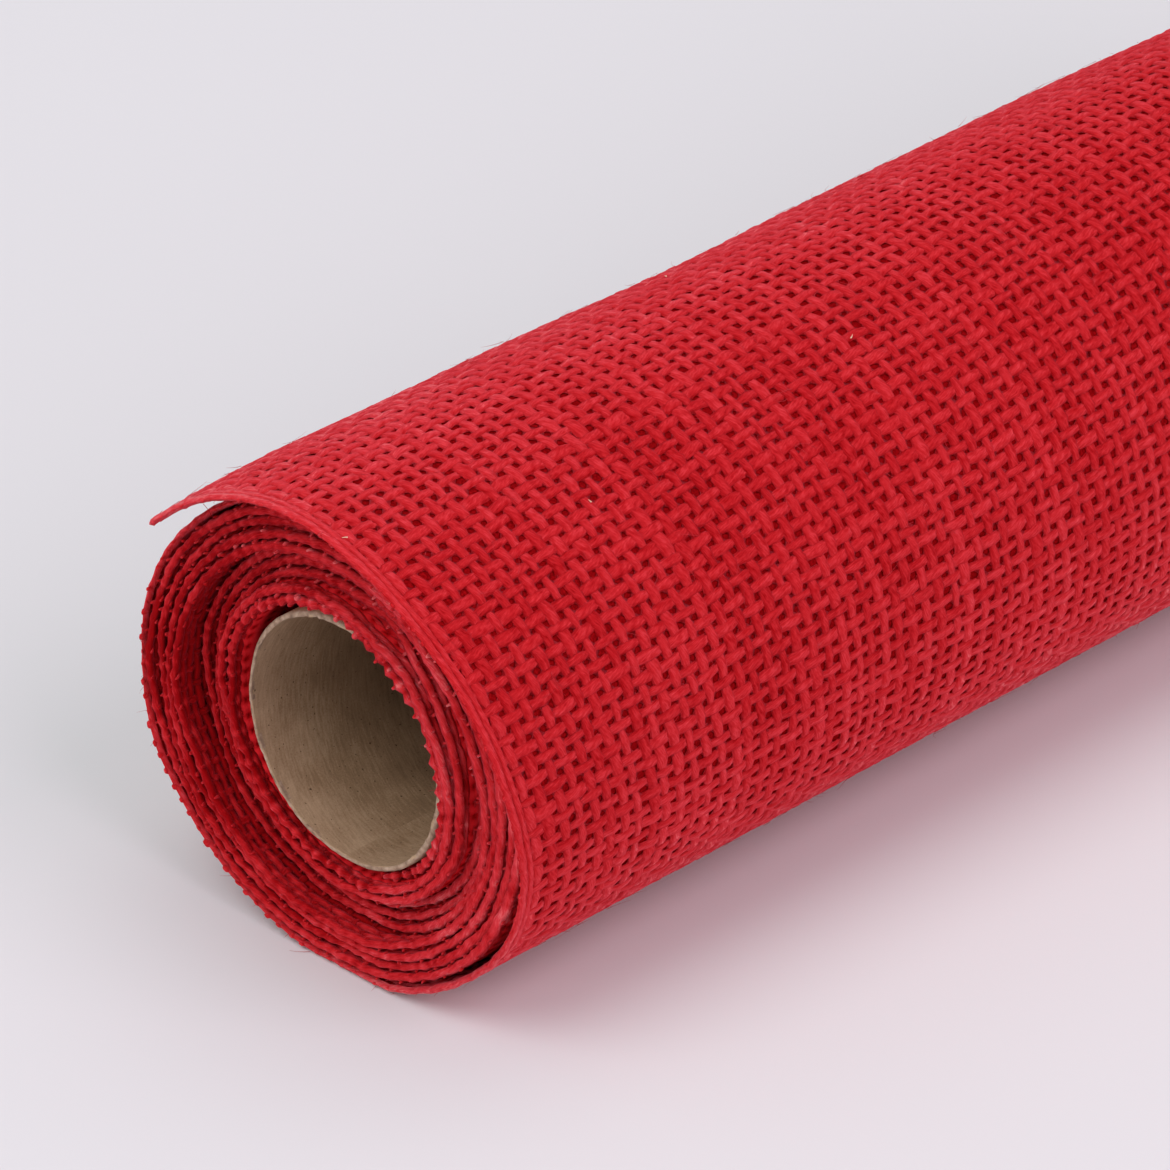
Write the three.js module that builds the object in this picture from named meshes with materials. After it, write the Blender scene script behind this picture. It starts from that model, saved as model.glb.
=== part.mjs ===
// A roll of jute table runner: one strip of cloth wound on a cardboard tube, its outer turn a little loose.
import * as THREE from 'three';

// Driving sizes, in millimetres. The roll's axis lies along X, and its near end faces -X.
// x is measured from the near rim of the core, y and z from the middle of the outer turn.
const CLOTH_WIDTH = 300;
const CLOTH = 1.4;
const GAP = 0.3;
const CORE = { outer: 20, wall: 1, length: 297, drop: 1.9 };
const FLOOR_DROP = 38.5;

// Angles are in degrees from straight down, up the front (-Y), over the top and down the back.
// The cloth's outer turn leaves the roll at SEAM and ends in a free flap, at TIP by its near edge.
// This turn is wound askew: it runs SKEW along the roll for each unit round it.
const SEAM = 15;
const TIP = 226;
const SKEW = 0.06;
const LOOSE_RADIUS = 39.5;
const FULL_TURN = 360;
const STEP_ANGLE = 5;
const SEAM_HALF = 0.2;
const LOOSE_START = 0.7;

// Whole turns under the seam, before the loose one
const TURNS = 10;

// The wound roll's radius from seam to seam
const ROLL = [
  { angle: 15, radius: 38.0 },
  { angle: 40, radius: 37.9 },
  { angle: 60, radius: 38.0 },
  { angle: 85, radius: 38.1 },
  { angle: 110, radius: 38.2 },
  { angle: 150, radius: 38.1 },
  { angle: 180, radius: 37.7 },
  { angle: 205, radius: 37.2 },
  { angle: 228, radius: 36.9 },
  { angle: 246, radius: 37.6 },
  { angle: 262, radius: 38.4 },
  { angle: 280, radius: 39.0 },
  { angle: 300, radius: 39.3 },
  { angle: 325, radius: 39.2 },
  { angle: 345, radius: 39.0 },
  { angle: 360, radius: 39.2 },
  { angle: 375, radius: 40.2 },
];

// The space between the roll and the loose turn, and how far the loose turn's near edge stands out
// in front of the core's rim
const LOOSE = [
  { angle: 15, space: 0.5, out: 3.1 },
  { angle: 38, space: 0.7, out: 2.5 },
  { angle: 60, space: 1.25, out: 2.1 },
  { angle: 80, space: 0.8, out: 2.6 },
  { angle: 100, space: 0.45, out: 5.0 },
  { angle: 120, space: 0.4, out: 6.8 },
  { angle: 142, space: 0.45, out: 8.9 },
  { angle: 165, space: 0.7, out: 9.6 },
  { angle: 190, space: 1.0, out: 9.6 },
  { angle: 210, space: 1.1, out: 10.2 },
  { angle: 226, space: 1.1, out: 11.3 },
];

// Turns wind askew in groups: each stands out in front of the core's rim, and leans out further on one side.
const GROUPS = [
  { firstTurn: 0, out: 1.0, lean: 1.2, toward: 150 },
  { firstTurn: 3, out: 0.3, lean: 0.7, toward: 200 },
  { firstTurn: 6, out: 3.2, lean: 1.3, toward: 275 },
];
const GROUP_SLOPE = 0.02;

// Across the cloth, from its near edge: where the loose turn's shape is worked out
const ACROSS = [0, 8, 24, 60, 120, 180, 240, CLOTH_WIDTH];
// The near edge wanders off the straight slant, and the cloth beyond EDGE_REACH doesn't
const EDGE_REACH = 90;
// The free flap lifts over its last stretch, waves along its length and droops at its near corner
const FLAP = {
  span: 42,
  lift: 0.7,
  wave: 0.45,
  waveLength: 140,
  ripple: 0.2,
  rippleLength: 57,
  droop: 0.8,
  droopLength: 12,
};

const RED = new THREE.Color().setRGB(205 / 255, 40 / 255, 50 / 255, THREE.SRGBColorSpace);
const KRAFT = new THREE.Color().setRGB(129 / 255, 102 / 255, 84 / 255, THREE.SRGBColorSpace);
const CLOTH_MATERIAL = { color: RED, roughness: 0.95, metalness: 0 };
const CARD_MATERIAL = { color: KRAFT, roughness: 0.9, metalness: 0 };

// A smooth curve through one column of a table
function through(rows, column) {
  const angles = rows.map((row) => row.angle);
  const values = rows.map((row) => row[column]);
  const curve = new THREE.CubicInterpolant(angles, values, 1, new Float64Array(1));
  return (angle) => curve.evaluate(angle)[0];
}

const rollRadius = through(ROLL, 'radius');
const looseSpace = through(LOOSE, 'space');
const looseOut = through(LOOSE, 'out');

// The unit vector [y, z] at an angle
function direction(angle) {
  const radians = THREE.MathUtils.degToRad(angle);
  return [-Math.sin(radians), -Math.cos(radians)];
}

// The point [y, z] at an angle and radius about the outer turn's middle, pressed flat where it meets the surface
function onOuter(angle, radius) {
  const [y, z] = direction(angle);
  const pressed = -z * radius > FLOOR_DROP ? FLOOR_DROP / -z : radius;
  return [y * pressed, z * pressed];
}

function onCore(angle, radius) {
  const [y, z] = direction(angle);
  return [y * radius, z * radius - CORE.drop];
}

// The point [y, z] of the wound cloth at an angle and a share of its thickness, 0 at the core
function inRoll(angle, share) {
  const inside = onCore(angle, CORE.outer + GAP);
  const outside = onOuter(angle, rollRadius(angle));
  return [0, 1].map((k) => THREE.MathUtils.lerp(inside[k], outside[k], share));
}

function groupOut(group, angle) {
  return group.out + group.lean * Math.cos(THREE.MathUtils.degToRad(angle - group.toward));
}

// One closed section of the wound roll as [x, y, z] points: its near end from the core out, then its far end back
function rollSection(angle) {
  const wound = (angle - SEAM) / FULL_TURN;
  const near = [];
  for (const group of GROUPS) {
    const share = group.firstTurn === 0 ? 0 : (group.firstTurn + wound) / (TURNS + wound);
    const next = GROUPS[GROUPS.indexOf(group) + 1];
    const end = next ? (next.firstTurn + wound) / (TURNS + wound) - GROUP_SLOPE : 1;
    near.push([-groupOut(group, angle), share], [-groupOut(group, angle), end]);
  }
  const far = near.map(([x, share]) => [x + CLOTH_WIDTH, share]).reverse();
  return near.concat(far).map(([x, share]) => [x, ...inRoll(angle, share)]);
}

// A closed solid from a loop of closed sections
function loopSolid(sections) {
  const count = sections[0].length;
  const index = [];
  sections.forEach((_, i) => {
    const next = (i + 1) % sections.length;
    for (let j = 0; j < count; j += 1) {
      const after = (j + 1) % count;
      const [a, b] = [i * count + j, i * count + after];
      const [c, d] = [next * count + after, next * count + j];
      index.push(a, b, c, a, c, d);
    }
  });
  return solid(sections.flat(2), index);
}

// A closed solid between two grids of [x, y, z] points, the inner and the outer face of a sheet
function sheetSolid(inner, outer) {
  const rows = inner.length;
  const columns = inner[0].length;
  const layer = rows * columns;
  const at = (i, j, side) => side * layer + i * columns + j;
  const index = [];
  const quad = (a, b, c, d) => index.push(a, b, c, a, c, d);
  for (let i = 0; i < rows - 1; i += 1) {
    for (let j = 0; j < columns - 1; j += 1) {
      quad(at(i, j, 0), at(i + 1, j, 0), at(i + 1, j + 1, 0), at(i, j + 1, 0));
      quad(at(i, j, 1), at(i, j + 1, 1), at(i + 1, j + 1, 1), at(i + 1, j, 1));
    }
    quad(at(i, 0, 1), at(i + 1, 0, 1), at(i + 1, 0, 0), at(i, 0, 0));
    quad(at(i, columns - 1, 0), at(i + 1, columns - 1, 0), at(i + 1, columns - 1, 1), at(i, columns - 1, 1));
  }
  for (let j = 0; j < columns - 1; j += 1) {
    quad(at(0, j, 0), at(0, j + 1, 0), at(0, j + 1, 1), at(0, j, 1));
    quad(at(rows - 1, j, 1), at(rows - 1, j + 1, 1), at(rows - 1, j + 1, 0), at(rows - 1, j, 0));
  }
  return solid([...inner.flat(2), ...outer.flat(2)], index);
}

function solid(positions, index) {
  const geometry = new THREE.BufferGeometry();
  geometry.setAttribute('position', new THREE.Float32BufferAttribute(positions, 3));
  geometry.setIndex(index);
  geometry.computeVertexNormals();
  return geometry;
}

// Angles from one to another, at most STEP_ANGLE apart
function steps(from, to) {
  const count = Math.ceil((to - from) / STEP_ANGLE);
  return Array.from({ length: count + 1 }, (_, i) => THREE.MathUtils.lerp(from, to, i / count));
}

function makeRoll() {
  const angles = steps(SEAM + SEAM_HALF, SEAM + FULL_TURN - SEAM_HALF);
  return loopSolid(angles.map(rollSection));
}

// The cloth's cut end is square, so on the slanted turn it lies further round towards the far edge
function tipAngle(across) {
  return TIP + THREE.MathUtils.radToDeg((SKEW * across) / LOOSE_RADIUS);
}

// How far the loose turn stands off the roll at an angle and a place across the cloth
function standOff(angle, across) {
  const tip = tipAngle(across);
  const free = THREE.MathUtils.smoothstep(angle, tip - FLAP.span, tip);
  const wave = FLAP.wave * Math.sin((2 * Math.PI * across) / FLAP.waveLength);
  const ripple = FLAP.ripple * Math.sin((2 * Math.PI * across) / FLAP.rippleLength);
  const droop = FLAP.droop * Math.exp(-across / FLAP.droopLength);
  return looseSpace(angle) + free * (FLAP.lift + wave + ripple - droop);
}

// How far a place across the loose turn has slid towards -X
function slide(angle, across) {
  const slant = looseOut(SEAM) + SKEW * LOOSE_RADIUS * THREE.MathUtils.degToRad(angle - SEAM);
  return THREE.MathUtils.lerp(looseOut(angle), slant, THREE.MathUtils.smoothstep(across, 0, EDGE_REACH));
}

function makeLooseEnd() {
  const shares = steps(SEAM + LOOSE_START, TIP).map((_, i, all) => i / (all.length - 1));
  const face = (thickness) =>
    shares.map((share) =>
      ACROSS.map((across) => {
        const angle = THREE.MathUtils.lerp(SEAM + LOOSE_START, tipAngle(across), share);
        const radius = rollRadius(angle) + standOff(angle, across) + thickness;
        return [across - slide(angle, across), ...onOuter(angle, radius)];
      })
    );
  return sheetSolid(face(0), face(CLOTH));
}

function makeCore() {
  const inner = CORE.outer - CORE.wall;
  const profile = [
    [CORE.outer, 0],
    [CORE.outer, CORE.length],
    [inner, CORE.length],
    [inner, 0],
    [CORE.outer, 0],
  ].map(([radius, along]) => new THREE.Vector2(radius, along));
  const geometry = new THREE.LatheGeometry(profile, FULL_TURN / STEP_ANGLE);
  geometry.rotateZ(-Math.PI / 2);
  geometry.translate(0, 0, -CORE.drop);
  return geometry;
}

const rollOfRunner = new THREE.Group();

function addPart(name, geometry, material) {
  const mesh = new THREE.Mesh(geometry, new THREE.MeshStandardMaterial(material));
  mesh.name = name;
  rollOfRunner.add(mesh);
}

addPart('core', makeCore(), CARD_MATERIAL);
addPart('roll', makeRoll(), CLOTH_MATERIAL);
addPart('loose_end', makeLooseEnd(), CLOTH_MATERIAL);

// The origin is the middle of the bounding box, on the surface that the roll lies on
const box = new THREE.Box3().setFromObject(rollOfRunner);
const middle = box.getCenter(new THREE.Vector3());
rollOfRunner.position.set(-middle.x, -middle.y, -box.min.z);

export default rollOfRunner;
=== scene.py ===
"""A roll of jute table runner: its outer turn yarn by yarn, the wound turns and their ends, and its tube."""

import math

import bmesh
import bpy
import numpy as np
from mathutils import Matrix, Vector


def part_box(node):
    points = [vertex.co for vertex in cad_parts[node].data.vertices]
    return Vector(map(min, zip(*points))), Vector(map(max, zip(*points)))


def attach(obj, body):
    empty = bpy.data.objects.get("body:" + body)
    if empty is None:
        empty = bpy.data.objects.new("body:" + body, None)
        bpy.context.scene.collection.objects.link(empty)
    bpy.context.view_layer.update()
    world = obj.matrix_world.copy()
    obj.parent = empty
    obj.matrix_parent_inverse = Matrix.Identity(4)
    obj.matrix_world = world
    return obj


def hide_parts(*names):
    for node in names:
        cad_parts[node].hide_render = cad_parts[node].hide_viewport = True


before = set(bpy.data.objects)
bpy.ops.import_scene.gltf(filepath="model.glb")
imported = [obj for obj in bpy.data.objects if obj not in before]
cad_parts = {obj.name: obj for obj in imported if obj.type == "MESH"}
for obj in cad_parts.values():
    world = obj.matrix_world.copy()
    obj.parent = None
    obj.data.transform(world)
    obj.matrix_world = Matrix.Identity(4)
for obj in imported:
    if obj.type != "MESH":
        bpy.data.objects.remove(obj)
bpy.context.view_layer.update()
SEED = 5444
random = np.random.default_rng(SEED)

# Sizes are in millimetres and angles in degrees from straight down, up the front (-Y) and over the top.
# x is measured from the near rim of the core, y and z from the middle of the outer turn.
CLOTH_WIDTH = 300.0
HALF_CLOTH = 0.7
CORE_RADIUS, CORE_WALL, CORE_LENGTH, CORE_DROP = 20.0, 1.0, 297.0, 1.9
CORE_SPACE = 0.3
FLOOR_DROP = 38.5
SEAM, TIP = 15.0, 226.0
SKEW, LOOSE_RADIUS = 0.06, 39.5
FULL_TURN = 360.0
TURNS = 10
# The loose turn's near edge wanders off its straight slant, and the cloth beyond this doesn't
EDGE_REACH = 90.0
# The free flap lifts over its last stretch, in waves (their height and length), and droops at its near corner
FLAP_SPAN, FLAP_LIFT, FLAP_WAVES = 42.0, 0.7, ((0.45, 140), (0.2, 57))
FLAP_DROOP, FLAP_DROOP_LENGTH = 0.8, 12
# The innermost turns stand off the core on one side, as a bell curve of the angle
CORE_STAND, STAND_ANGLE, STAND_SPREAD = 1.3, 285, 62
# Slow waves of the wound turns' radius and of their edge: lengths in degrees of winding, and height
DRIFT = ((171, 97, 61, 43), 0.16)
EDGE_DRIFT = ((233, 121, 77, 47, 29), 0.75)
# The near edge also jumps a little from one part of a turn to the next
JUMP_TURNS, JUMP = 0.55, 0.16

# The wound roll's radius by angle
ROLL = np.array(
    [
        (15, 38.0), (40, 37.9), (60, 38.0), (85, 38.1), (110, 38.2), (150, 38.1),
        (180, 37.7), (205, 37.2), (228, 36.9), (246, 37.6), (262, 38.4), (280, 39.0),
        (300, 39.3), (325, 39.2), (345, 39.0), (360, 39.2), (375, 40.2),
    ]
)
# The loose turn by angle: its space from the roll, and how far its near edge stands out in front of the core
LOOSE = np.array(
    [
        (15, 0.5, 2.5), (38, 0.7, 2.2), (60, 1.25, 2.1), (80, 0.8, 2.6), (100, 0.45, 5.0), (120, 0.4, 6.8),
        (142, 0.45, 8.9), (165, 0.7, 9.6), (190, 1.0, 9.6), (210, 1.1, 10.2), (226, 1.1, 11.3),
    ]
)
# The wound turns' near edge by the number of turns from the core: how far out it stands, and how far it leans
# out towards one side
WOUND_EDGE = np.array(
    [
        (0.0, -0.2, 0.9, 150), (0.35, 1.1, 0.9, 150), (2.2, 1.1, 0.9, 155), (2.45, -0.7, 0.7, 200),
        (3.6, -0.8, 0.7, 200), (4.95, -0.3, 0.8, 220), (5.25, 2.9, 1.1, 255), (6.8, 2.7, 1.2, 258),
        (7.8, 2.9, 1.2, 262), (9.0, 3.0, 1.3, 262), (10.0, 2.9, 1.2, 262),
    ]
)

# Yarns: those that run round the roll are hoops, and those that run along it are rods
HOOP_PITCH, ROD_PITCH = 2.903, 2.46
HOOP_HALF, ROD_HALF = (0.97, 0.36), (0.87, 0.35)
WAVE = 0.17
# Across the cloth: the two selvage hoops at each edge, and the first one inside them
SELVAGE, FIRST_INNER = (0.66, 1.76), 3.4
# The outer turn is made yarn by yarn over this length from its cut end, and the turns under it are a sheet
DETAIL_LENGTH = 261.0
# The first rods have three rings of each yarn's mesh for each crossing, and those under the roll and behind
# it have two
FINE_RODS = 64
# Sides of a yarn's section at the wound turns' near edge and at their far edge
NEAR_SIDES, FAR_SIDES = 5, 4
# A yarn's section, as shares of its half width and half height: flat on its outer side
FLAT_SECTION = np.array([(1.0, 0.0), (0.54, 0.86), (-0.54, 0.86), (-1.0, 0.0), (0.0, -1.0)])
# Painted light along the outer turn, by the distance from its cut end: painted sheen and light make it paler
# at the free end and low down, and painted shade makes it darker between
PAINTED_SHEEN_AND_SHADE = np.array(
    [
        (0, 1.9), (15, 1.3), (35, 0.4), (60, -0.6), (90, -0.3),
        (112, 0.6), (125, 1.5), (147, 2.4), (165, 1.0),
    ]
)
HAIRS, EDGE_HAIRS, HAIR_RINGS = 2100, 650, 5
STRAW_PLACES, MORE_STRAW = [(55.0, 38.0), (53.5, 94.5), (41.0, 2.5)], 5
LIGHTS = (
    ("key", (0.2, 0.15, 2.6), 1.8, 7.0, (0.97, 1.01, 0.98)),
    ("front", (0.0, -2.55, 2.1), 2.6, 49.0, (1.17, 0.89, 1.02)),
    ("side", (-1.7, 0.1, 2.3), 1.8, 26.0, (1.0, 1.01, 1.01)),
    ("low", (-2.9, 0.2, 0.55), 1.2, 17.0, (1.0, 0.98, 0.98)),
)
LIGHTS_AIM = (0, 0, 0.04)
FLOOR_REACH = 5.0
# Nothing dips below this over the floor, in metres
FLOOR_CLEARANCE = 0.00003


def through(table, column):
    """A smooth curve through one column of a table, by its first column."""
    x, y = table[:, 0], table[:, column]
    slope = np.empty_like(y)
    slope[1:-1] = (y[2:] - y[:-2]) / (x[2:] - x[:-2])
    slope[0] = (y[1] - y[0]) / (x[1] - x[0])
    slope[-1] = (y[-1] - y[-2]) / (x[-1] - x[-2])

    def at(value):
        value = np.clip(value, x[0], x[-1])
        i = np.clip(np.searchsorted(x, value, side="right") - 1, 0, len(x) - 2)
        span = x[i + 1] - x[i]
        t = (value - x[i]) / span
        start = (1 + 2 * t) * (1 - t) ** 2 * y[i] + t * (1 - t) ** 2 * span * slope[i]
        end = t * t * (3 - 2 * t) * y[i + 1] + t * t * (t - 1) * span * slope[i + 1]
        return start + end

    return at


def smoothstep(value, low, high):
    t = np.clip((value - low) / (high - low), 0, 1)
    return t * t * (3 - 2 * t)


def waves(lengths, size):
    """Smooth noise: waves of these lengths with random phases, and this total height."""
    phases = random.uniform(0, 2 * math.pi, len(lengths))
    weights = random.uniform(0.6, 1.0, len(lengths))
    weights *= size / weights.sum()

    def at(value):
        total = np.zeros_like(np.asarray(value, float))
        for length, phase, weight in zip(lengths, phases, weights):
            total = total + weight * np.sin(2 * math.pi * value / length + phase)
        return total

    return at


def smoothed(values, reach):
    """Each row averaged with its neighbours on both sides."""
    kernel = np.hanning(2 * reach + 3)[1:-1]
    kernel /= kernel.sum()
    padded = np.concatenate([values[:1].repeat(reach, 0), values, values[-1:].repeat(reach, 0)])
    return np.stack([np.convolve(column, kernel, "valid") for column in padded.T], 1)


roll_radius = through(ROLL, 1)
loose_space = through(LOOSE, 1)
loose_out = through(LOOSE, 2)


def direction(angle):
    radians = np.radians(angle)
    return -np.sin(radians), -np.cos(radians)


def on_outer(angle, radius, drop):
    """The point (y, z) at an angle and radius, pressed flat where the roll lies on the floor."""
    y, z = direction(angle)
    radius = np.where(-z * radius > drop, drop / np.maximum(-z, 0.2), radius)
    return y * radius, z * radius


# The middle of the cloth's thickness, tabled by winding angle (rows, a degree apart) and by place across it
# (columns). The winding angle is 15 - 3600 at the core, 15 at the seam and 226 to 252 at the tip.
FIRST_ANGLE = SEAM - FULL_TURN * TURNS
WINDING = np.arange(FIRST_ANGLE, 263.0, 1.0)
ACROSS = np.linspace(0, CLOTH_WIDTH, 61)
COLUMN = ACROSS[1]


def turn_angle(winding):
    """A winding angle as an angle round the roll, from one seam to the next."""
    return (winding - SEAM) % FULL_TURN + SEAM


def wound_path(winding):
    """The middle (y, z) of the wound turns."""
    angle = turn_angle(winding)
    turn = (winding - FIRST_ANGLE) / FULL_TURN
    share = turn / (TURNS - 1 + (angle - SEAM) / FULL_TURN)
    back = np.exp(-(((angle - STAND_ANGLE) / STAND_SPREAD) ** 2))
    stand = CORE_STAND * back * smoothstep(turn, 4.2, 0.2) * smoothstep(turn, 0.2, 0.55)
    drift = waves(*DRIFT)(winding) * smoothstep(turn, 0.3, 1.0) * smoothstep(turn, 9.3, 8.6)
    outer = on_outer(angle, roll_radius(angle) - HALF_CLOTH, FLOOR_DROP - HALF_CLOTH)
    y, z = direction(angle)
    inner_radius = CORE_RADIUS + CORE_SPACE + HALF_CLOTH
    inner = y * inner_radius, z * inner_radius - CORE_DROP
    return (
        inner[0] + (outer[0] - inner[0]) * share + y * (drift + stand),
        inner[1] + (outer[1] - inner[1]) * share + z * (drift + stand),
    )


def loose_path(winding, across):
    """The middle (y, z) of the loose turn."""
    tip = TIP + np.degrees(SKEW * across / LOOSE_RADIUS)
    free = smoothstep(winding, tip - FLAP_SPAN, tip)
    lift = FLAP_LIFT
    for size, length in FLAP_WAVES:
        lift = lift + size * np.sin(2 * math.pi * across / length)
    lift = lift - FLAP_DROOP * np.exp(-across / FLAP_DROOP_LENGTH)
    radius = roll_radius(winding) + loose_space(winding) + free * lift + HALF_CLOTH
    return on_outer(winding, radius, FLOOR_DROP - HALF_CLOTH)


def wound_out(winding):
    """How far the wound turns' near edge stands out in front of the core's rim."""
    turn = (winding - FIRST_ANGLE) / FULL_TURN
    edge, lean, side = (through(WOUND_EDGE, column)(turn) for column in (1, 2, 3))
    rough = waves(*EDGE_DRIFT)(winding)
    knots = np.arange(-0.2, TURNS + 1, JUMP_TURNS)
    jumps = np.interp(turn, knots, random.normal(0, JUMP, len(knots)))
    settle = smoothstep(turn, TURNS, TURNS - 0.25)
    return edge + lean * np.cos(np.radians(turn_angle(winding) - side)) + (rough + jumps) * settle


def loose_turn_out(winding, across):
    """How far a place across the loose turn has slid towards -X."""
    slant = loose_out(SEAM) + SKEW * LOOSE_RADIUS * np.radians(winding - SEAM)
    reach = smoothstep(across, 0, EDGE_REACH)
    return loose_out(winding) * (1 - reach) + slant * reach


def table_cloth():
    """The cloth's middle (y, z), its normal and its slide, and the length along its middle line."""
    wound = WINDING < SEAM
    loose, across = WINDING[~wound][:, None], ACROSS[None, :]
    points = np.empty((len(WINDING), len(ACROSS), 2))
    for k, (inside, outside) in enumerate(zip(wound_path(WINDING[wound]), loose_path(loose, across))):
        points[wound, :, k], points[~wound, :, k] = inside[:, None], outside
    points = smoothed(points.reshape(len(WINDING), -1), 5).reshape(points.shape)

    out = np.empty((len(WINDING), len(ACROSS)))
    out[wound] = wound_out(WINDING[wound])[:, None]
    out[~wound] = loose_turn_out(loose, across)
    out = smoothed(out, 7)

    along = np.gradient(points, axis=0)
    length = np.linalg.norm(along, axis=2)
    normal = np.stack([-along[..., 1], along[..., 0]], 2) / length[..., None]
    table = np.concatenate([points, normal, out[..., None]], 2)
    middle = points[:, len(ACROSS) // 2]
    arc = np.concatenate([[0], np.cumsum(np.linalg.norm(np.diff(middle, axis=0), axis=1))])
    return table, arc


CLOTH_TABLE, ARC = table_cloth()
ROWS = np.arange(len(ARC), dtype=float)
# The cloth's length, from the core to its cut end halfway across
CLOTH_LENGTH = np.interp(TIP + np.degrees(SKEW * CLOTH_WIDTH / 2 / LOOSE_RADIUS), WINDING, ARC)
# The origin of these sizes in the frame
core_low, core_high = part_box("core")
ORIGIN = np.array(
    [
        core_low.x,
        (core_low.y + core_high.y) / 2,
        (core_low.z + core_high.z) / 2 + CORE_DROP / 1000,
    ]
)


def place(s, v, h):
    """Points of the cloth in the frame: s along it from its cut end, v across it, h out from its middle."""
    skewed = smoothstep(s, 390, 150)
    arc = CLOTH_LENGTH - s + SKEW * (v - CLOTH_WIDTH / 2) * skewed
    row = np.clip(np.interp(arc, ARC, ROWS), 0, len(ROWS) - 1.001)
    column = np.clip(v / COLUMN, 0, len(ACROSS) - 1.001)
    i, j = row.astype(int), column.astype(int)
    a, b = (row - i)[..., None], (column - j)[..., None]
    near = CLOTH_TABLE[i, j] * (1 - a) + CLOTH_TABLE[i + 1, j] * a
    far = CLOTH_TABLE[i, j + 1] * (1 - a) + CLOTH_TABLE[i + 1, j + 1] * a
    y, z, ny, nz, out = np.moveaxis(near * (1 - b) + far * b, -1, 0)
    points = np.stack([v - out, y + h * ny, z + h * nz], -1) / 1000 + ORIGIN
    points[..., 2] = np.maximum(points[..., 2], FLOOR_CLEARANCE)
    return points


def warp(s, v):
    """The weave's slow drift off its grid."""
    ds = 0.5 * rods_lean(v + 0.3 * s) + 0.35 * rods_crowd(s)
    dv = 0.35 * hoops_lean(s - 0.4 * v) + 0.3 * hoops_crowd(v)
    inside = smoothstep(v, 0, 12) * smoothstep(v, CLOTH_WIDTH, CLOTH_WIDTH - 12)
    return s + ds * smoothstep(s, 0, 10), v + dv * inside


rods_lean, rods_crowd = waves((173, 91, 53, 31), 1.0), waves((67, 41, 23), 1.0)
hoops_lean, hoops_crowd = waves((127, 71, 43, 29), 1.0), waves((83, 47, 27), 1.0)


def round_section(sides):
    phi = 2 * math.pi * (np.arange(sides) + random.uniform(0, 0.5)) / sides
    return np.stack([np.cos(phi), np.sin(phi)], 1)


def array_mesh(name, points, corners, starts, uv):
    """A smooth mesh from its points, all its faces' corners, where each face starts, and a uv per corner."""
    mesh = bpy.data.meshes.new(name)
    mesh.vertices.add(points.size // 3)
    mesh.vertices.foreach_set("co", points.astype(np.float32).ravel())
    mesh.loops.add(len(corners))
    mesh.loops.foreach_set("vertex_index", corners.astype(np.int32))
    mesh.polygons.add(len(starts))
    mesh.polygons.foreach_set("loop_start", starts.astype(np.int32))
    mesh.update(calc_edges=True)
    mesh.uv_layers.new(name="YarnUV").data.foreach_set("uv", uv.astype(np.float32).ravel())
    mesh.shade_smooth()
    return mesh


def set_tones(mesh, tones):
    mesh.attributes.new("tone", "FLOAT", "POINT").data.foreach_set("value", tones.astype(np.float32))


def finish_piece(name, mesh, material):
    piece = bpy.data.objects.new(name, mesh)
    bpy.context.scene.collection.objects.link(piece)
    mesh.materials.append(material)
    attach(piece, "root")
    return piece


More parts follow.
